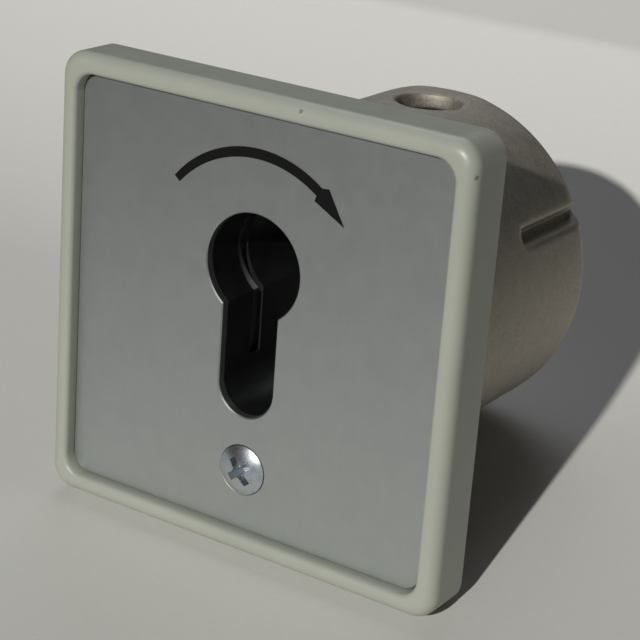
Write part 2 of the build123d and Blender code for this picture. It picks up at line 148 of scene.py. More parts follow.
class MaterialSheet:
    """A node material under construction, with the parts that every finish uses."""

    def __init__(self, name: str) -> None:
        """Starts an empty material with Object coordinates and a Principled shader.

        Args:
            name: The material's name.
        """
        self.material = bpy.data.materials.new(name)
        self.material.use_nodes = True
        self.tree = self.material.node_tree
        self.tree.nodes.clear()
        self.place = add_node(self.tree, "ShaderNodeTexCoord").outputs["Object"]
        self.shader = add_node(self.tree, "ShaderNodeBsdfPrincipled")
        add_node(self.tree, "ShaderNodeOutputMaterial", {"Surface": self.shader.outputs["BSDF"]})

    def stretched(self, scale: tuple[float, float, float]) -> bpy.types.NodeSocket:
        """Object coordinates, scaled along each axis.

        Args:
            scale: The factor along each axis.

        Returns:
            The vector socket.
        """
        node = add_node(self.tree, "ShaderNodeMapping", {"Vector": self.place, "Scale": scale})
        return node.outputs["Vector"]

    def noise(self, size: float, detail: float = 3.0, rough: float = 0.5,
              vector: bpy.types.NodeSocket | None = None) -> bpy.types.NodeSocket:
        """Fractal noise with cells of a real size.

        Args:
            size: Cell size in millimetres.
            detail: Number of octaves.
            rough: Weight of the finer octaves.
            vector: Coordinates, or None for plain Object coordinates.

        Returns:
            The factor socket.
        """
        node = add_node(self.tree, "ShaderNodeTexNoise", {
            "Vector": vector or self.place, "Scale": per_mm(size), "Detail": detail,
            "Roughness": rough})
        return node.outputs["Fac"]

    def cells(self, size: float) -> bpy.types.Node:
        """Voronoi cells of a real size.

        Args:
            size: Cell size in millimetres.

        Returns:
            The Voronoi node.
        """
        return add_node(self.tree, "ShaderNodeTexVoronoi",
                        {"Vector": self.place, "Scale": per_mm(size)})

    def ramp(self, factor: bpy.types.NodeSocket,
             stops: list[tuple[float, tuple[float, float, float, float]]]) -> bpy.types.NodeSocket:
        """Colours a factor.

        Args:
            factor: The factor socket.
            stops: Places and linear colours, in order.

        Returns:
            The colour socket.
        """
        node = add_node(self.tree, "ShaderNodeValToRGB", {"Fac": factor})
        ramp = node.color_ramp
        ramp.elements[0].position, ramp.elements[0].color = stops[0]
        ramp.elements[1].position, ramp.elements[1].color = stops[-1]
        for place, colour in stops[1:-1]:
            ramp.elements.new(place).color = colour
        return node.outputs["Color"]

    def span(self, factor: bpy.types.NodeSocket, low: float, high: float,
             start: float = 0.0, end: float = 1.0) -> bpy.types.NodeSocket:
        """Maps a factor from one range to another, clamped.

        Args:
            factor: The factor socket.
            low: Result at the start.
            high: Result at the end.
            start: Factor that gives low.
            end: Factor that gives high.

        Returns:
            The value socket.
        """
        node = add_node(self.tree, "ShaderNodeMapRange", {
            "Value": factor, "From Min": start, "From Max": end, "To Min": low, "To Max": high})
        return node.outputs["Result"]

    def mixed(self, factor: bpy.types.NodeSocket | float, one: object,
              two: object) -> bpy.types.NodeSocket:
        """Mixes two colours.

        Args:
            factor: 0 for the first colour, 1 for the second.
            one: A colour or a colour socket.
            two: A colour or a colour socket.

        Returns:
            The colour socket.
        """
        node = add_node(self.tree, "ShaderNodeMix", {0: factor, 6: one, 7: two}, data_type="RGBA")
        return node.outputs[2]

    def sum(self, one: object, two: object, kind: str = "ADD") -> bpy.types.NodeSocket:
        """Combines two values by a Math node.

        Args:
            one: A value or socket.
            two: A value or socket.
            kind: The Math operation.

        Returns:
            The value socket.
        """
        return add_node(self.tree, "ShaderNodeMath", {0: one, 1: two}, operation=kind).outputs["Value"]

    def near(self, spots: list[tuple[Vector, float]]) -> bpy.types.NodeSocket:
        """A mask of small ragged spots.

        Args:
            spots: Centres in metres and radii in millimetres.

        Returns:
            A value that is 1 in a spot and 0 outside.
        """
        ragged_size, ragged_share = 0.35, 1.3
        inner, outer = 0.75, 1.05
        ragged = self.sum(self.noise(ragged_size, 4.0, 0.7), -0.5)
        total = None
        for centre, radius in spots:
            far = add_node(self.tree, "ShaderNodeVectorMath",
                           {0: self.place, 1: tuple(centre)}, operation="DISTANCE").outputs["Value"]
            edge = self.sum(ragged, radius * MM * ragged_share, "MULTIPLY")
            one = self.span(self.sum(far, edge), 1.0, 0.0, radius * MM * inner,
                            radius * MM * outer)
            total = one if total is None else self.sum(total, one, "MAXIMUM")
        return total

    def bump(self, height: bpy.types.NodeSocket, depth: float,
             after: bpy.types.NodeSocket | None = None) -> bpy.types.NodeSocket:
        """Bumps the surface by a real depth.

        Args:
            height: The height socket, from 0 to 1.
            depth: Depth in millimetres of a height of 1.
            after: The normal of a bump that comes first.

        Returns:
            The normal socket.
        """
        inputs = {"Height": height, "Distance": depth * MM}
        if after is not None:
            inputs["Normal"] = after
        return add_node(self.tree, "ShaderNodeBump", inputs).outputs["Normal"]

    def finish(self, colour: object, rough: object, normal: bpy.types.NodeSocket | None = None,
               **numbers: float) -> bpy.types.Material:
        """Fills the shader's sockets.

        Args:
            colour: Base colour or its socket.
            rough: Roughness or its socket.
            normal: The normal socket, if any.
            numbers: Uniform values for other sockets, with _ for a space.

        Returns:
            The finished material.
        """
        values = {"Base Color": colour, "Roughness": rough}
        if normal is not None:
            values["Normal"] = normal
        for key, value in values.items():
            if isinstance(value, bpy.types.NodeSocket):
                self.tree.links.new(value, self.shader.inputs[key])
            else:
                self.shader.inputs[key].default_value = value
        for key, value in numbers.items():
            self.shader.inputs[key.replace("_", " ")].default_value = value
        return self.material


# ---------------------------------------------------------------- finishes


@dataclass(frozen=True)
class SatinEnamel:
    """Sprayed satin enamel on a die casting: soft sheen, faint orange peel, a few chips."""

    name: str = "satin_enamel_sprayed_on_die_casting"
    light: str = "#A8ABA1"
    dark: str = "#A2A69C"
    primer: str = "#7C7D76"
    chips: tuple = ()

    def material(self) -> bpy.types.Material:
        """Builds the material."""
        sheet = MaterialSheet(self.name)
        tint = sheet.ramp(sheet.noise(14, 4), [(0.3, linear(self.dark)), (0.7, linear(self.light))])
        peel = sheet.noise(0.9, 2.0, 0.4)
        normal = sheet.bump(peel, 0.012)
        rough = sheet.span(sheet.noise(3, 5, 0.65), 0.33, 0.45, 0.3, 0.7)
        if self.chips:
            chip = sheet.near(list(self.chips))
            tint = sheet.mixed(chip, tint, linear(self.primer))
            normal = sheet.bump(sheet.sum(1.0, chip, "SUBTRACT"), 0.06, after=normal)
            rough = sheet.sum(rough, sheet.sum(chip, 0.25, "MULTIPLY"))
        return sheet.finish(tint, rough, normal, IOR=1.5)


@dataclass(frozen=True)
class BrushedAnodised:
    """Aluminium sheet, finely brushed upright and matt anodised: a cloudy blue-grey sheen."""

    name: str = "anodised_aluminium_brushed_sheet"
    light: str = "#C8CDCC"
    dark: str = "#C2C7C7"

    def material(self) -> bpy.types.Material:
        """Builds the material."""
        sheet = MaterialSheet(self.name)
        # Brush lines are about 0.05 mm wide on the sheet, drawn 0.12 mm wide so that they show.
        lines = sheet.noise(1.0, 3.0, 0.6, sheet.stretched((8.0, 1.0, 0.06)))
        clouds = sheet.noise(3, 5, 0.6)
        tone = sheet.sum(sheet.sum(lines, 0.5, "MULTIPLY"), sheet.sum(clouds, 0.5, "MULTIPLY"))
        tint = sheet.ramp(tone, [(0.35, linear(self.dark)), (0.65, linear(self.light))])
        rough = sheet.span(tone, 0.41, 0.43, 0.35, 0.65)
        return sheet.finish(tint, rough, sheet.bump(lines, 0.0012), Metallic=1.0)


@dataclass(frozen=True)
class ScreenInk:
    """Screen-printed ink: matt black with a slightly uneven film."""

    name: str = "screen_printed_ink"
    colour: str = "#060607"

    def material(self) -> bpy.types.Material:
        """Builds the material."""
        sheet = MaterialSheet(self.name)
        film = sheet.noise(0.4, 4.0, 0.6)
        tint = sheet.ramp(film, [(0.3, linear(self.colour)), (0.8, linear("#0C0C0D"))])
        return sheet.finish(tint, sheet.span(film, 0.7, 0.85), sheet.bump(film, 0.008), IOR=1.4,
                            Specular_IOR_Level=0.3)


@dataclass(frozen=True)
class CellFoam:
    """Closed-cell foam rubber: dull black skin with fine pores."""

    name: str = "foam_rubber_closed_cell"

    def material(self) -> bpy.types.Material:
        """Builds the material."""
        sheet = MaterialSheet(self.name)
        pores = sheet.cells(0.35).outputs["Distance"]
        tint = sheet.ramp(pores, [(0.1, linear("#0C0C0C")), (0.6, linear("#262726"))])
        return sheet.finish(tint, 0.92, sheet.bump(pores, 0.08), IOR=1.45)


@dataclass(frozen=True)
class BlackNylon:
    """Glass-filled nylon, injection moulded: black, semi-matt, faint spark-eroded grain."""

    name: str = "nylon_black_injection_moulded"
    colour: str = "#141516"
    rough: float = 0.38

    def material(self) -> bpy.types.Material:
        """Builds the material."""
        sheet = MaterialSheet(self.name)
        grain = sheet.noise(0.18, 3.0, 0.6)
        streak = sheet.noise(5, 4, 0.6)
        tint = sheet.ramp(streak, [(0.3, linear(self.colour)), (0.75, linear("#1D1E20"))])
        rough = sheet.span(streak, self.rough, self.rough + 0.12, 0.3, 0.7)
        return sheet.finish(tint, rough, sheet.bump(grain, 0.015), IOR=1.53)


@dataclass(frozen=True)
class BlueZinc:
    """Steel, zinc plated and blue passivated: bright, cool, with faint straw and violet bloom."""

    name: str = "zinc_plated_steel_blue_passivated"
    rough: float = 0.24

    def material(self) -> bpy.types.Material:
        """Builds the material."""
        sheet = MaterialSheet(self.name)
        bloom = sheet.noise(1.6, 3.0, 0.55)
        tint = sheet.ramp(bloom, [(0.3, linear("#B4C3D6")), (0.5, linear("#CFD6DD")),
                                  (0.72, linear("#D8D3C6"))])
        grit = sheet.noise(0.12, 3.0, 0.6)
        rough = sheet.span(grit, self.rough, self.rough + 0.14, 0.3, 0.7)
        return sheet.finish(tint, rough, sheet.bump(grit, 0.006), Metallic=1.0)


@dataclass(frozen=True)
class RawCasting:
    """Gravity-cast aluminium, shot-blasted and left raw: warm grey, grainy and matt."""

    name: str = "cast_aluminium_raw_blasted"
    light: str = "#C2BCB1"
    dark: str = "#9C978D"

    def material(self) -> bpy.types.Material:
        """Builds the material."""
        sheet = MaterialSheet(self.name)
        # Blasting grain is about 0.15 mm across, drawn at 0.3 mm so that it shows.
        grain = sheet.noise(0.3, 4.0, 0.7)
        mottle = sheet.noise(2.4, 5.0, 0.62)
        tone = sheet.sum(sheet.sum(grain, 0.75, "MULTIPLY"), sheet.sum(mottle, 0.25, "MULTIPLY"))
        tint = sheet.ramp(tone, [(0.36, linear(self.dark)), (0.62, linear(self.light))])
        first = sheet.bump(mottle, 0.05)
        return sheet.finish(tint, sheet.span(tone, 0.58, 0.72, 0.35, 0.65),
                            sheet.bump(grain, 0.07, after=first), Metallic=1.0)


@dataclass(frozen=True)
class MilledAluminium:
    """Aluminium sheet with a turned face: fine rings round the lock axis."""

    name: str = "aluminium_turned_face"
    colour: str = "#C2C3C4"

    def material(self) -> bpy.types.Material:
        """Builds the material."""
        sheet = MaterialSheet(self.name)
        rings = add_node(sheet.tree, "ShaderNodeTexWave",
                         {"Vector": sheet.place, "Scale": per_mm(1.2), "Distortion": 0.6, "Detail": 2.0},
                         wave_type="RINGS", rings_direction="Y").outputs["Fac"]
        tint = sheet.ramp(rings, [(0.0, linear("#AEB0B2")), (1.0, linear(self.colour))])
        return sheet.finish(tint, 0.3, sheet.bump(rings, 0.006), Metallic=1.0)


@dataclass(frozen=True)
class GalvanisedSheet:
    """Steel sheet, hot-dip galvanised: dull silver with a faint spangle."""

    name: str = "steel_sheet_galvanised"

    def material(self) -> bpy.types.Material:
        """Builds the material."""
        sheet = MaterialSheet(self.name)
        spangle = sheet.cells(3.5).outputs["Color"]
        tone = add_node(sheet.tree, "ShaderNodeRGBToBW", {"Color": spangle}).outputs["Val"]
        tint = sheet.ramp(tone, [(0.2, linear("#A6A9AD")), (0.8, linear("#C3C6CA"))])
        return sheet.finish(tint, sheet.span(tone, 0.32, 0.46), sheet.bump(sheet.noise(0.4), 0.01),
                            Metallic=1.0)


@dataclass(frozen=True)
class GroundSteel:
    """Spring steel, drawn or ground bright: fine lines and a thin oil film."""

    name: str = "spring_steel_ground"
    colour: str = "#B5B4B1"

    def material(self) -> bpy.types.Material:
        """Builds the material."""
        sheet = MaterialSheet(self.name)
        lines = sheet.noise(1.0, 3.0, 0.6, sheet.stretched((0.3, 8.0, 8.0)))
        tint = sheet.ramp(lines, [(0.3, linear("#8F8E8B")), (0.7, linear(self.colour))])
        return sheet.finish(tint, sheet.span(lines, 0.18, 0.32), sheet.bump(lines, 0.005), Metallic=1.0)


@dataclass(frozen=True)
class MouldedPlastic:
    """A small unfilled plastic moulding, such as acetal or ABS, with a slight mould texture."""

    name: str
    colour: str
    shade: str
    rough: float = 0.35

    def material(self) -> bpy.types.Material:
        """Builds the material."""
        sheet = MaterialSheet(self.name)
        flow = sheet.noise(4, 3, 0.5)
        tint = sheet.ramp(flow, [(0.3, linear(self.shade)), (0.7, linear(self.colour))])
        return sheet.finish(tint, sheet.span(flow, self.rough, self.rough + 0.1, 0.3, 0.7),
                            sheet.bump(sheet.noise(0.25), 0.01), IOR=1.48)


@dataclass(frozen=True)
class StampedBrass:
    """Brass strip, stamped and rolled: warm yellow with a light tarnish."""

    name: str = "brass_strip_stamped"

    def material(self) -> bpy.types.Material:
        """Builds the material."""
        sheet = MaterialSheet(self.name)
        tarnish = sheet.noise(2.0, 4.0, 0.6)
        tint = sheet.ramp(tarnish, [(0.3, linear("#9E7B3C")), (0.65, linear("#D9B566"))])
        return sheet.finish(tint, sheet.span(tarnish, 0.38, 0.24, 0.3, 0.7),
                            sheet.bump(sheet.noise(0.2), 0.006), Metallic=1.0)


@dataclass(frozen=True)
class MattePaper:
    """The studio floor: matt card, off white, with a faint fibre grain."""

    name: str = "card_matt_off_white"
    light: str = "#D3D2CE"
    dark: str = "#D0CFCB"

    def material(self) -> bpy.types.Material:
        """Builds the material."""
        sheet = MaterialSheet(self.name)
        fibre = sheet.noise(0.8, 4.0, 0.6)
        tint = sheet.ramp(fibre, [(0.3, linear(self.dark)), (0.7, linear(self.light))])
        return sheet.finish(tint, 0.85, sheet.bump(fibre, 0.01), IOR=1.4)


# ---------------------------------------------------------------- mesh helpers


def new_object(name: str, mesh: bpy.types.Mesh) -> bpy.types.Object:
    """Links a new object with a mesh to the scene.

    Args:
        name: The object's name.
        mesh: Its mesh.

    Returns:
        The object.
    """
    piece = bpy.data.objects.new(name, mesh)
    bpy.context.scene.collection.objects.link(piece)
    return piece


def closed_mesh(name: str, work: bmesh.types.BMesh) -> bpy.types.Mesh:
    """Writes a bmesh to a mesh with its normals outwards.

    Args:
        name: The mesh's name.
        work: The bmesh, which is freed.

    Returns:
        The mesh.
    """
    bmesh.ops.remove_doubles(work, verts=work.verts, dist=1e-7)
    bmesh.ops.recalc_face_normals(work, faces=work.faces)
    mesh = bpy.data.meshes.new(name)
    work.to_mesh(mesh)
    work.free()
    return mesh


def lathe(name: str, profile: list[tuple[float, float]], sides: int = 64) -> bpy.types.Object:
    """Turns a profile round the local Z axis.

    Args:
        name: The object's name.
        profile: Radii and heights in millimetres, from axis to axis.
        sides: Number of steps round the axis.

    Returns:
        A closed turned object.
    """
    work = bmesh.new()
    rings = []
    for radius, height in profile:
        count = sides if radius > 0 else 1
        rings.append([work.verts.new((radius * MM * math.cos(math.tau * k / sides),
                                      radius * MM * math.sin(math.tau * k / sides), height * MM))
                      for k in range(count)])
    for upper, lower in zip(rings, rings[1:]):
        for k in range(sides):
            ring = [upper[k % len(upper)], upper[(k + 1) % len(upper)],
                    lower[(k + 1) % len(lower)], lower[k % len(lower)]]
            work.faces.new(list(dict.fromkeys(ring)))
    return new_object(name, closed_mesh(name, work))


def frustum(work: bmesh.types.BMesh, top: tuple[float, float], foot: tuple[float, float],
            high: float, low: float, turn: float) -> None:
    """Adds a tapered block, centred on the local Z axis, to a bmesh.

    Args:
        work: The bmesh.
        top: Half sizes at the top, in millimetres.
        foot: Half sizes at the foot, in millimetres.
        high: Height of the top.
        low: Height of the foot.
        turn: Turn about Z, in radians.
    """
    spin = Matrix.Rotation(turn, 3, "Z")
    rows = []
    for (half_x, half_y), height in ((top, high), (foot, low)):
        rows.append([work.verts.new(spin @ Vector((sx * half_x * MM, sy * half_y * MM, height * MM)))
                     for sx, sy in ((-1, -1), (1, -1), (1, 1), (-1, 1))])
    work.faces.new(rows[0])
    work.faces.new(rows[1][::-1])
    for k in range(4):
        work.faces.new([rows[0][k], rows[1][k], rows[1][(k + 1) % 4], rows[0][(k + 1) % 4]])


def baked(piece: bpy.types.Object, name: str) -> bpy.types.Object:
    """Turns an object and its modifiers into a plain mesh object, and removes the original.

    Args:
        piece: The object with its modifiers.
        name: The new object's name.

    Returns:
        The plain object.
    """
    graph = bpy.context.evaluated_depsgraph_get()
    graph.update()
    mesh = bpy.data.meshes.new_from_object(piece.evaluated_get(graph))
    mesh.name = name
    bpy.data.objects.remove(piece)
    return new_object(name, mesh)


def carve(piece: bpy.types.Object, cutter: bpy.types.Object, name: str) -> bpy.types.Object:
    """Cuts one closed object out of another.

    Args:
        piece: The object that is cut.
        cutter: The object that is taken away, and removed.
        name: The result's name.

    Returns:
        The cut object.
    """
    cut = piece.modifiers.new("cut", "BOOLEAN")
    cut.operation = "DIFFERENCE"
    cut.solver = "EXACT"
    cut.object = cutter
    result = baked(piece, name)
    bpy.data.objects.remove(cutter)
    return result


def smooth_by_angle(mesh: bpy.types.Mesh, degrees: float) -> None:
    """Shades a mesh smooth, except over edges that turn by more than an angle.

    Args:
        mesh: The mesh.
        degrees: The angle.
    """
    mesh.shade_smooth()
    mesh.set_sharp_from_angle(angle=math.radians(degrees))


def merged_copy(node: bpy.types.Object, name: str) -> bpy.types.Object:
    """A copy of a CAD node with its loose triangles joined.

    Args:
        node: The CAD node's object.
        name: The copy's name.

    Returns:
        The copy, with no material.
    """
    work = bmesh.new()
    work.from_mesh(node.data)
    bmesh.ops.remove_doubles(work, verts=work.verts, dist=2e-6)
    mesh = bpy.data.meshes.new(name)
    work.to_mesh(mesh)
    work.free()
    return new_object(name, mesh)


def solids(node: bpy.types.Object) -> list[tuple[Vector, Vector]]:
    """The boxes of a CAD node's separate solids.

    Args:
        node: The CAD node's object.

    Returns:
        Lowest and highest corners, in order of x and then z.
    """
    work = bmesh.new()
    work.from_mesh(node.data)
    bmesh.ops.remove_doubles(work, verts=work.verts, dist=2e-6)
    left = set(work.verts)
    boxes = []
    while left:
        heap, group = [left.pop()], []
        while heap:
            vert = heap.pop()
            group.append(vert.co.copy())
            for edge in vert.link_edges:
                other = edge.other_vert(vert)
                if other in left:
                    left.remove(other)
                    heap.append(other)
        low = Vector([min(co[k] for co in group) for k in range(3)])
        high = Vector([max(co[k] for co in group) for k in range(3)])
        boxes.append((low, high))
    work.free()
    return sorted(boxes, key=lambda box: (round(box[0].x, 4), round(box[0].z, 4)))


class NodeRecipe:
    """A Geometry Nodes tree under construction, with named inputs."""

    def __init__(self, name: str) -> None:
        """Starts a tree with a geometry input and output.

        Args:
            name: The tree's name.
        """
        self.tree = bpy.data.node_groups.new(name, "GeometryNodeTree")
        self.tree.interface.new_socket("Geometry", in_out="INPUT", socket_type="NodeSocketGeometry")
        self.tree.interface.new_socket("Geometry", in_out="OUTPUT", socket_type="NodeSocketGeometry")
        self.given: dict[str, object] = {}
        self.source = add_node(self.tree, "NodeGroupInput")

    def wants(self, name: str, kind: str, value: object) -> bpy.types.NodeSocket:
        """Adds a named input.

        Args:
            name: The input's name.
            kind: Its socket type, without the NodeSocket in front.
            value: What the modifier gives it.

        Returns:
            The socket to link from.
        """
        self.tree.interface.new_socket(name, in_out="INPUT", socket_type="NodeSocket" + kind)
        self.given[name] = value
        return self.source.outputs[name]

    def add(self, kind: str, inputs: dict | None = None, **settings: object) -> bpy.types.Node:
        """Adds a node to the tree."""
        return add_node(self.tree, kind, inputs, **settings)

    def ends(self, geometry: bpy.types.NodeSocket, material: bpy.types.Material) -> None:
        """Finishes the tree with real geometry and a material.

        Args:
            geometry: The geometry socket.
            material: The material of every face.
        """
        real = self.add("GeometryNodeRealizeInstances", {"Geometry": geometry})
        dressed = self.add("GeometryNodeSetMaterial",
                           {"Geometry": real.outputs["Geometry"], "Material": material})
        self.add("NodeGroupOutput", {"Geometry": dressed.outputs["Geometry"]})

    def grown_on(self, piece: bpy.types.Object, name: str) -> bpy.types.Object:
        """Runs the tree on an object and bakes the result.

        Args:
            piece: The object that the tree starts from, which is removed.
            name: The result's name.

        Returns:
            The plain object.
        """
        modifier = piece.modifiers.new("recipe", "NODES")
        modifier.node_group = self.tree
        for item in self.tree.interface.items_tree:
            if item.in_out == "INPUT" and item.name in self.given:
                modifier[item.identifier] = self.given[item.name]
        return baked(piece, name)


def settle(piece: bpy.types.Object, body: Body, slot: Slot, *replaced: str) -> None:
    """Puts a finished piece on its body and hides the CAD nodes that it replaces.

    Args:
        piece: The finished piece.
        body: The body that it rides on.
        slot: The record's finish; not used.
        replaced: The CAD nodes that it replaces.
    """
    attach(piece, body.value)
    if replaced:
        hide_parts(*replaced)
    LOG.info("made %s with %d faces", piece.name, len(piece.data.polygons))


# ---------------------------------------------------------------- sub-assemblies


@dataclass
class Workshop:
    """Gives CAD nodes their finishes and keeps one material for each finish."""

    nodes: dict
    made: dict = field(default_factory=dict)

    def material(self, finish: object) -> bpy.types.Material:
        """The material of a finish, built once.

        Args:
            finish: A finish with a name and a material method.

        Returns:
            The material.
        """
        if finish.name not in self.made:
            self.made[finish.name] = finish.material()
        return self.made[finish.name]

    def dress(self, finish: object, *names: str) -> None:
        """Puts a finish on CAD nodes.

        Args:
            finish: The finish.
            names: The nodes' names.
        """
        material = self.material(finish)
        for name in names:
            node = self.nodes[name]
            if not node.material_slots:
                node.data.materials.append(material)
            for slot in node.material_slots:
                slot.material = material
            LOG.info("dressed %s in %s", name, material.name)


@dataclass
class ScrewSet:
    """Screws of one kind, with a recessed head and a real thread, one on each CAD solid."""

    shop: Workshop
    name: str
    node: str
    head: Head
    head_r: float
    head_h: float
    crest_r: float
    pitch: float
    faces_rear: bool = False
    rise: float = 0.0
    recess: float = 0.58
    turn: float = 0.0
    relief: float = 0.12
    root_share: float = 0.84
    neck: float = 0.3
    rim: float = 0.12
    pan_share: float = 0.62
    depth_share: float = 0.62
    wing_share: float = 0.24
    middle_share: float = 0.44

    @property
    def core(self) -> float:
        """Radius at the root of the thread, in millimetres."""
        return self.crest_r * self.root_share

    def outline(self) -> list[tuple[float, float]]:
        """The head's profile, from the middle of its top to the shank.

        Returns:
            Radii and heights in millimetres, with the head's highest point at 0.
        """
        core = self.core
        if self.head is Head.PAN:
            steps = 10
            dome = [(self.head_r * math.sin(math.pi / 2 * k / steps),
                     -self.head_h * self.pan_share * (1 - math.cos(math.pi / 2 * k / steps) ** 0.8))
                    for k in range(steps + 1)]
            return dome + [(self.head_r, -self.head_h), (core, -self.head_h),
                           (core, -self.head_h - self.neck),
                           (0.0, -self.head_h - self.neck)]
        steps = 12
        rise = self.rise
        dome = [(self.head_r * k / steps, -rise * (k / steps) ** 2) for k in range(steps + 1)]
        edge = rise + self.rim
        return dome + [(self.head_r, -edge), (core, -edge - self.head_r + core),
                       (core, -edge - self.head_r + core - self.neck),
                       (0.0, -edge - self.head_r + core - self.neck)]

    def cutter(self) -> bpy.types.Object:
        """The tool that stamps the cross recess.

        Returns:
            A closed cutter with two tapered wings and a tapered middle.
        """
        reach = self.head_r * self.recess
        wing = reach * self.wing_share
        depth = -(self.rise + max(self.head_h, self.head_r * 0.5) * self.depth_share)
        top = 0.3
        work = bmesh.new()
        frustum(work, (reach, wing), (reach * 0.5, wing * 0.75), top, depth, self.turn)
        first = new_object("wing", closed_mesh("wing", work))
        middle = reach * self.middle_share
        for half_x, half_y, turn in ((reach, wing, math.pi / 2), (middle, middle, math.pi / 4)):
            work = bmesh.new()
            frustum(work, (half_x, half_y), (half_x * 0.5, half_y * 0.72), top, depth,
                    self.turn + turn)
            other = new_object("wing", closed_mesh("wing", work))
            join = first.modifiers.new("join", "BOOLEAN")
            join.operation = "UNION"
            join.solver = "EXACT"
            join.object = other
            first = baked(first, "wings")
            bpy.data.objects.remove(other)
        return first

    def recipe(self, head: bpy.types.Object, length: float) -> NodeRecipe:
        """The tree that adds a threaded shank to the head and puts one screw on each point.

        Args:
            head: The stamped head.
            length: Length of the shank in millimetres.

        Returns:
            The tree and what it is given.
        """
        core = self.core
        tree = NodeRecipe(self.name + "_recipe")
        shown = tree.add("GeometryNodeObjectInfo", {"Object": tree.wants("Head", "Object", head)})
        pitch = tree.wants("Pitch", "Float", self.pitch * MM)
        shank = tree.wants("Shank Length", "Float", length * MM)
        root = tree.wants("Root Radius", "Float", core * MM)
        tooth = tree.wants("Tooth Radius", "Float", (self.crest_r - core) * 1.1 * MM)
        tilt = tree.wants("Tilt", "Vector", (math.radians(-90 if self.faces_rear else 90), 0, 0))
        start = tree.wants("Thread Foot", "Vector", (0, 0, -(self.head_h + length) * MM))
        middle = tree.wants("Core Middle", "Vector", (0, 0, -(self.head_h + length / 2) * MM))
        threaded = tree.add("ShaderNodeMath", {0: shank, 1: pitch}, operation="SUBTRACT")
        turns = tree.add("ShaderNodeMath", {0: threaded.outputs[0], 1: pitch}, operation="DIVIDE")
        helix = tree.add("GeometryNodeCurveSpiral", {
            "Resolution": 20, "Rotations": turns.outputs[0], "Start Radius": root,
            "End Radius": root, "Height": threaded.outputs[0]})
        tooth_shape = tree.add("GeometryNodeCurvePrimitiveCircle", {"Resolution": 3, "Radius": tooth})
        thread = tree.add("GeometryNodeCurveToMesh", {
            "Curve": helix.outputs[0], "Profile Curve": tooth_shape.outputs[0], "Fill Caps": True})
        lifted = tree.add("GeometryNodeTransform", {"Geometry": thread.outputs[0], "Translation": start})
        bar = tree.add("GeometryNodeMeshCylinder", {"Vertices": 24, "Radius": root, "Depth": shank})
        placed = tree.add("GeometryNodeTransform",
                          {"Geometry": bar.outputs["Mesh"], "Translation": middle})
        whole = tree.add("GeometryNodeJoinGeometry")
        for part in (shown.outputs["Geometry"], lifted.outputs[0], placed.outputs[0]):
            tree.tree.links.new(part, whole.inputs[0])
        spread = tree.add("GeometryNodeInstanceOnPoints", {
            "Points": tree.source.outputs["Geometry"], "Instance": whole.outputs[0],
            "Rotation": tilt})
        tree.ends(spread.outputs[0], self.shop.material(BlueZinc()))
        return tree

    def build(self) -> bpy.types.Object:
        """Builds the set in place of its CAD node.

        Returns:
            The screws, as one piece.
        """
        boxes = solids(self.shop.nodes[self.node])
        mesh = bpy.data.meshes.new(self.name)
        places = [((low.x + high.x) / 2, high.y if self.faces_rear else low.y, (low.z + high.z) / 2)
                  for low, high in boxes]
        mesh.from_pydata(places, [], [])
        whole = (boxes[0][1].y - boxes[0][0].y) / MM
        head = carve(lathe("head", self.outline()), self.cutter(), "stamped_head")
        tree = self.recipe(head, whole - self.head_h - self.relief)
        piece = tree.grown_on(new_object(self.name + "_points", mesh), self.name)
        bpy.data.objects.remove(head)
        smooth_by_angle(piece.data, 35)
        settle(piece, Body.STATIC, Slot.ZINC, self.node)
        return piece


@dataclass
class FrontAssembly:
    """The painted frame, the plate with its arrow and screw, and the two foam seals."""

    shop: Workshop

    def dress(self) -> None:
        """Puts the finishes on the front's CAD nodes."""
        low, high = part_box("front_frame")
        chips = ((Vector((8 * MM, low.y + 0.3 * MM, high.z - 1.2 * MM)), 0.35),
                 (Vector((high.x - 0.3 * MM, low.y + 1.2 * MM, high.z - 5 * MM)), 0.4))
        self.shop.dress(SatinEnamel(chips=chips), "front_frame")
        self.shop.dress(BrushedAnodised(), "front_plate")
        self.shop.dress(ScreenInk(), "direction_arrow")
        self.shop.dress(CellFoam(), "plate_gasket", "wall_gasket")
        ScrewSet(self.shop, "plate_screw_m4", "plate_screw", Head.RAISED, head_r=4.1, head_h=3.22,
                 crest_r=2.0, pitch=0.7, rise=1.0, recess=0.66, turn=math.radians(38)).build()
        ScrewSet(self.shop, "frame_screws_m3", "frame_screws", Head.FLAT, head_r=2.9, head_h=1.6,
                 crest_r=1.45, pitch=0.5, turn=math.radians(20)).build()


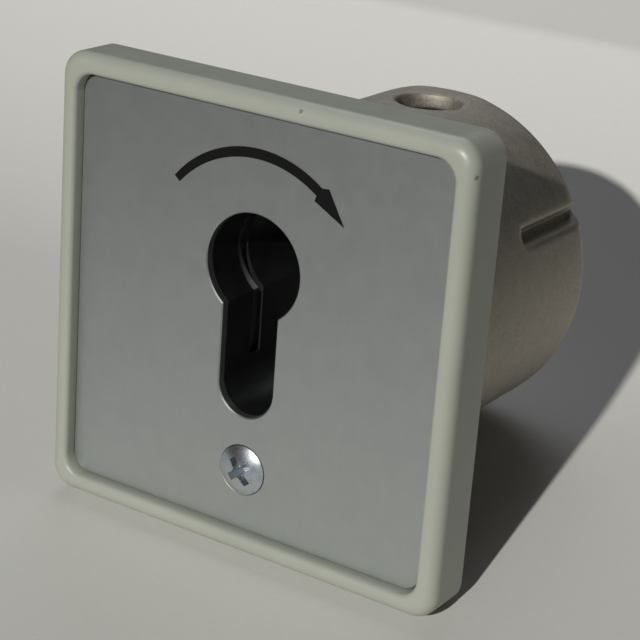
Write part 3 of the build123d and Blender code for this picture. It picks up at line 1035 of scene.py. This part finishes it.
@dataclass
class CastCan:
    """The cast housing that goes into the wall, with its earth point."""

    shop: Workshop
    voxel: float = 0.62
    pit_depth: float = 0.14
    pit_size: float = 1.3
    seed: float = 4.0

    def dress(self) -> None:
        """Puts the finishes on the housing's CAD nodes."""
        self.shop.dress(BlueZinc(), "earth_washer")
        ScrewSet(self.shop, "earth_screw_m4", "earth_screw", Head.PAN, head_r=2.9, head_h=2.0,
                 crest_r=1.65, pitch=0.7).build()

    def build(self) -> bpy.types.Object:
        """Builds the can with the soft edges and grainy skin of a casting.

        Returns:
            The can.
        """
        blank = merged_copy(self.shop.nodes["switch_housing"], "can_blank")
        remesh = blank.modifiers.new("skin", "REMESH")
        remesh.mode = "VOXEL"
        remesh.voxel_size = self.voxel * MM
        settle_skin = blank.modifiers.new("settle", "SMOOTH")
        settle_skin.factor = 0.5
        settle_skin.iterations = 2
        can = self.skin().grown_on(blank, "cast_can")
        can.data.shade_smooth()
        settle(can, Body.STATIC, Slot.CAST, "switch_housing")
        return can

    def skin(self) -> NodeRecipe:
        """The tree that pits the surface inwards like a sand-rough casting.

        Returns:
            The tree.
        """
        tree = NodeRecipe("casting_skin")
        depth = tree.wants("Pit Depth", "Float", self.pit_depth * MM)
        size = tree.wants("Pit Size", "Float", per_mm(self.pit_size))
        sand = tree.add("ShaderNodeTexNoise",
                          {"Scale": size, "Detail": 3.0, "Roughness": 0.65, "W": self.seed},
                          noise_dimensions="4D")
        pull = tree.add("ShaderNodeMath", {0: sand.outputs["Fac"], 1: depth}, operation="MULTIPLY")
        inwards = tree.add("ShaderNodeMath", {0: pull.outputs[0], 1: -1.0}, operation="MULTIPLY")
        normal = tree.add("GeometryNodeInputNormal")
        offset = tree.add("ShaderNodeVectorMath",
                          {0: normal.outputs[0], "Scale": inwards.outputs[0]}, operation="SCALE")
        moved = tree.add("GeometryNodeSetPosition", {
            "Geometry": tree.source.outputs["Geometry"], "Offset": offset.outputs[0]})
        tree.ends(moved.outputs[0], self.shop.material(RawCasting()))
        return tree


@dataclass
class SwitchInsert:
    """The moulded insert behind the plate, with its lever, microswitch and fixings."""

    shop: Workshop

    def dress(self) -> None:
        """Puts the finishes on the insert's CAD nodes."""
        shop = self.shop
        shop.dress(BlackNylon(), "profile_collar", "switch_carrier", "microswitch_case",
                   "microswitch_cover")
        shop.dress(MilledAluminium(), "carrier_plate")
        shop.dress(BlueZinc(), "cylinder_screw", "wire_clamps")
        shop.dress(GalvanisedSheet(), "switch_bracket")
        shop.dress(GroundSteel(), "lever_pin", "pin_clip", "lever_spring", "leaf_pin",
                   "switch_leaf", "snap_blade")
        shop.dress(MouldedPlastic("acetal_natural_moulded", "#E6E3D9", "#D9D5C8"), "cam_lever")
        shop.dress(MouldedPlastic("abs_red_moulded", "#C22A20", "#A81F18", 0.25), "switch_plunger")
        shop.dress(StampedBrass(), "common_terminal", "open_terminal", "closed_terminal")

    def fix(self) -> None:
        """Puts threaded screws in place of the insert's plain ones."""
        shop = self.shop
        ScrewSet(shop, "carrier_screws_m4", "carrier_screws", Head.PAN, head_r=3.4, head_h=2.2,
                 crest_r=1.65, pitch=0.7).build()
        ScrewSet(shop, "insert_screws_m3", "insert_screws", Head.FLAT, head_r=2.6, head_h=1.55,
                 crest_r=1.25, pitch=0.9).build()
        ScrewSet(shop, "bracket_screws_m3", "bracket_screws", Head.PAN, head_r=2.6, head_h=1.8,
                 crest_r=1.25, pitch=0.9, faces_rear=True).build()
        ScrewSet(shop, "microswitch_screws_m2", "microswitch_screws", Head.PAN, head_r=2.2,
                 head_h=1.4, crest_r=1.12, pitch=0.5, faces_rear=True).build()
        ScrewSet(shop, "terminal_screws_m3", "terminal_screws", Head.PAN, head_r=2.7, head_h=1.8,
                 crest_r=1.45, pitch=0.5, faces_rear=True).build()


@dataclass
class Studio:
    """The floor, the lights and the camera."""

    lean: float = math.radians(10.0)
    floor_size: float = 3.0
    sweep_start: float = 0.056
    sweep_end: float = 0.15
    sweep_rise: float = 3.5
    sweep_steps: int = 40
    key_energy: float = 2.75
    panel_energy: float = 0.32
    panel_size: float = 0.25
    panel_place: tuple[float, float, float] = (-0.1, 0.2, 0.34)
    world_strength: float = 0.03
    # Each card's name, left and right edges, and the rows that it is laid along, in metres.
    cards: tuple = (("front_flag", -0.9, 0.5, (-1.2, -0.2)),
                    ("right_flag", 0.1, 0.9, (-0.17, 0.056, 0.12, 0.2)),
                    ("rear_flag", -0.9, 0.9, (0.2, 0.26, 0.4)))
    aim: tuple[float, float, float] = (12.83, -7.0, -4.96)
    azimuth: float = math.radians(32.17)
    elevation: float = math.radians(20.35)
    roll: float = math.radians(4.29)
    distance: float = 291.15
    lens: float = 109.4
    sun_azimuth: float = math.radians(-6.0)
    sun_height: float = math.radians(22.5)

    def level(self, y: float) -> float:
        """Height of the floor.

        Args:
            y: Distance behind the wall plane.

        Returns:
            The height: it leans back under the switch, curves up behind it and levels off.
        """
        y = min(y, self.sweep_end)
        past = max(y - self.sweep_start, 0.0)
        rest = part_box("front_frame")[0].z
        return rest + math.tan(self.lean) * y + self.sweep_rise * past ** 2

    def floor(self, shop: Workshop) -> None:
        """Lays the floor under the frame's lower edge and the can's rear.

        Args:
            shop: The workshop with the materials.
        """
        half = self.floor_size / 2
        sweep = [self.sweep_start + (self.sweep_end - self.sweep_start) * k / self.sweep_steps
                 for k in range(self.sweep_steps + 1)]
        places = []
        for y in [-half, *sweep, half]:
            places.append((y, self.level(y)))
        corners = [(x, y, z) for y, z in places for x in (-half, half)]
        faces = [(2 * k, 2 * k + 1, 2 * k + 3, 2 * k + 2) for k in range(len(places) - 1)]
        mesh = bpy.data.meshes.new("studio_floor")
        mesh.from_pydata(corners, [], faces)
        mesh.shade_smooth()
        floor = new_object("studio_floor", mesh)
        mesh.materials.append(shop.material(MattePaper()))
        LOG.info("laid the floor")

    def camera(self) -> None:
        """Stands the camera in front, to the right of and above the switch."""
        turn = (Matrix.Rotation(self.azimuth, 3, "Z")
                @ Matrix.Rotation(math.pi / 2 - self.elevation, 3, "X")
                @ Matrix.Rotation(self.roll, 3, "Z"))
        place = Vector(self.aim) * MM + turn @ Vector((0, 0, self.distance * MM))
        data = bpy.data.cameras.new("studio_camera")
        data.lens = self.lens
        data.sensor_width = 36.0
        data.clip_start = 0.01
        camera = bpy.data.objects.new("studio_camera", data)
        camera.matrix_world = Matrix.Translation(place) @ turn.to_4x4()
        bpy.context.scene.collection.objects.link(camera)
        bpy.context.scene.camera = camera
        LOG.info("placed the camera")

    def lamp(self, name: str, kind: str, towards: Vector, **settings: object) -> bpy.types.Object:
        """Hangs a lamp that shines along a direction.

        Args:
            name: The lamp's name.
            kind: SUN or AREA.
            towards: The direction that its light travels.
            settings: Properties of the lamp.

        Returns:
            The lamp.
        """
        data = bpy.data.lights.new(name, kind)
        for key, value in settings.items():
            setattr(data, key, value)
        lamp = bpy.data.objects.new(name, data)
        lamp.rotation_euler = towards.to_track_quat("-Z", "Y").to_euler()
        bpy.context.scene.collection.objects.link(lamp)
        return lamp

    def lights(self) -> None:
        """Hangs a low key light in front, a small panel above and a dim fill all round."""
        level = math.cos(self.sun_height)
        ray = Vector((math.sin(self.sun_azimuth) * level, math.cos(self.sun_azimuth) * level,
                      -math.sin(self.sun_height)))
        self.lamp("key_light", "SUN", ray, energy=self.key_energy, angle=math.radians(1.5),
                  color=linear("#FFFEF9")[:3])
        panel = self.lamp("sky_panel", "AREA", Vector((0.1, -0.17, -0.34)), energy=self.panel_energy,
                          size=self.panel_size,
                          color=linear("#F4F6FF")[:3])
        panel.location = self.panel_place
        world = bpy.data.worlds.new("studio_world")
        bpy.context.scene.world = world
        world.use_nodes = True
        world.node_tree.nodes.clear()
        shade = add_node(world.node_tree, "ShaderNodeBackground",
                         {"Color": linear("#D8DCDA"), "Strength": self.world_strength})
        add_node(world.node_tree, "ShaderNodeOutputWorld", {"Surface": shade.outputs["Background"]})
        bpy.context.scene.view_settings.view_transform = "Standard"
        self.flags()
        LOG.info("hung the lights")

    def flags(self) -> None:
        """Lays black cards over the far floor, which only reflections and bounced light see."""
        sheet = MaterialSheet("cloth_black_matt")
        cloth = sheet.finish(linear("#050505"), 0.95)
        for name, left, right, rows in self.cards:
            corners = [(x, y, self.level(y) + MM) for y in rows for x in (left, right)]
            faces = [(2 * k, 2 * k + 1, 2 * k + 3, 2 * k + 2) for k in range(len(rows) - 1)]
            mesh = bpy.data.meshes.new(name)
            mesh.from_pydata(corners, [], faces)
            mesh.materials.append(cloth)
            card = new_object(name, mesh)
            card.visible_camera = False
            card.visible_shadow = False


def main() -> None:
    """Builds and dresses the whole switch and its studio."""
    logging.basicConfig(level=logging.INFO, format="%(message)s")
    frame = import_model()
    shop = Workshop(frame["nodes"])
    FrontAssembly(shop).dress()
    can = CastCan(shop)
    can.dress()
    can.build()
    insert = SwitchInsert(shop)
    insert.dress()
    insert.fix()
    studio = Studio()
    studio.floor(shop)
    studio.camera()
    studio.lights()


if __name__ == "__main__":
    main()
